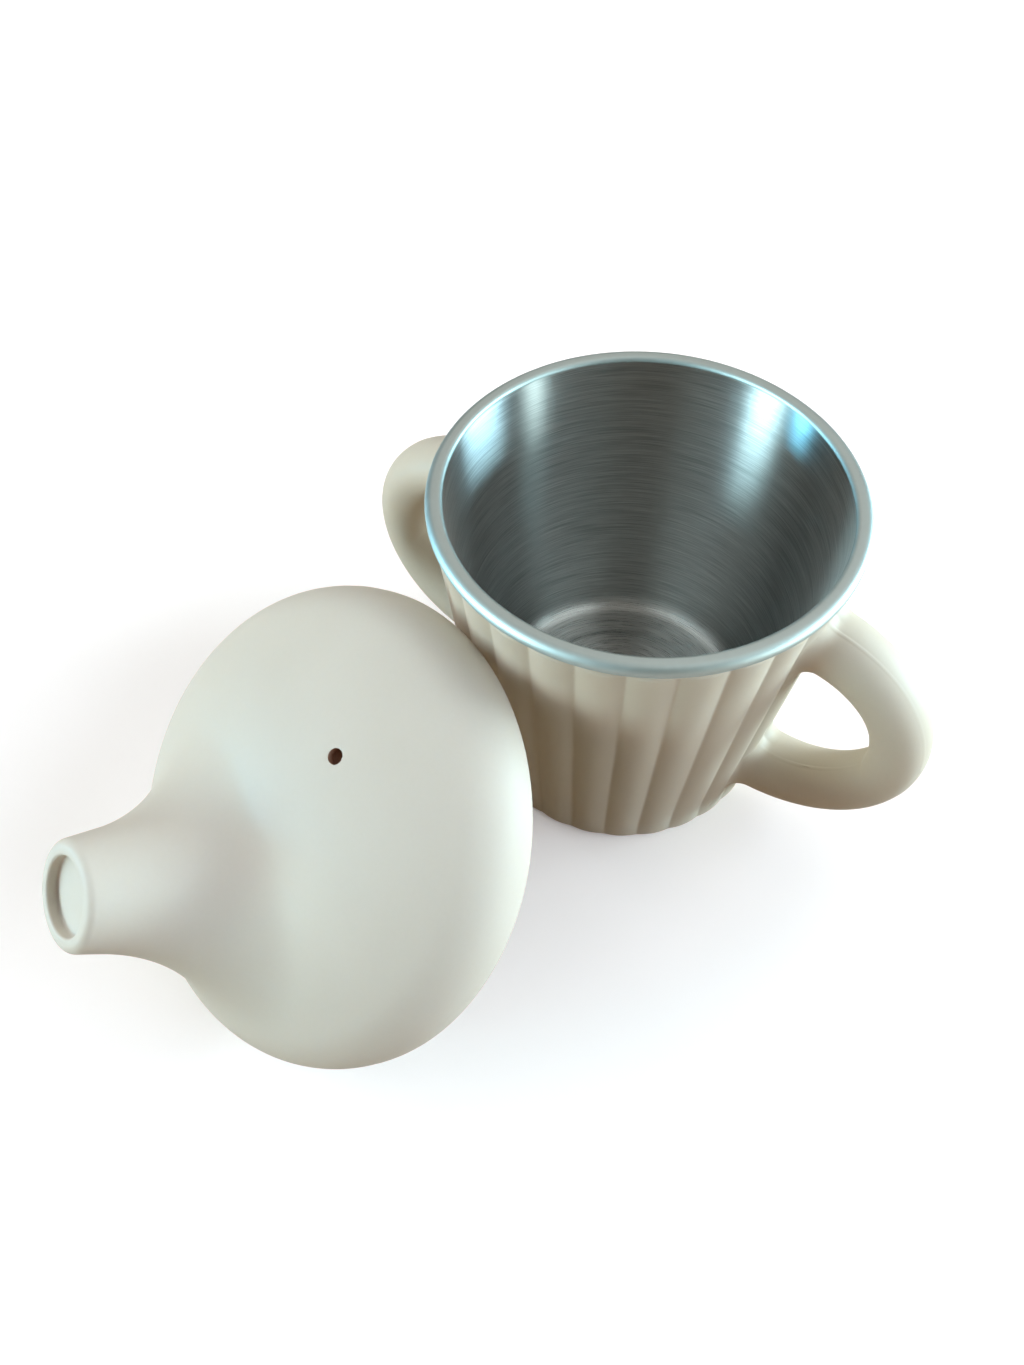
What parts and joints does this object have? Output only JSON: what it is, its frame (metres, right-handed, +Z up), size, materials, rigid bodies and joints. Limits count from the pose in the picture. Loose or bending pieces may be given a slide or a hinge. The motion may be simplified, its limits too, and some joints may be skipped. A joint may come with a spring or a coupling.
{
  "type": "spout cup",
  "caption": "Toddler's cup: brushed steel liner in a ribbed silicone sleeve with loop handles, and a domed silicone spout lid taken off and leaning on it.",
  "frame": {"origin": "centre of the cup's flat base, on the surface that it stands on", "axes": "+Z up along the cup's axis, +X through the middle of the right handle, the lid leans at about 250 degrees"},
  "size_m": [0.1338, 0.1556, 0.074],
  "materials": {
    "steel": "brushed round the cup's axis",
    "silicone": "satin matt moulded silicone"
  },
  "bodies": {
    "cup": {"sleeve": "silicone", "right_handle": "silicone", "left_handle": "silicone"},
    "liner": {"liner": "steel"},
    "lid": {"lid": "silicone"}
  },
  "joints": [
    {"name": "liner_lift", "type": "slide", "parent": "cup", "child": "liner", "axis": [0, 0, 1], "range_m": [0, 0.075]},
    {"name": "lid_slide", "type": "slide", "parent": "cup", "child": "lid", "axis": [-0.342, -0.9397, 0], "range_m": [0, 0.06]}
  ]
}
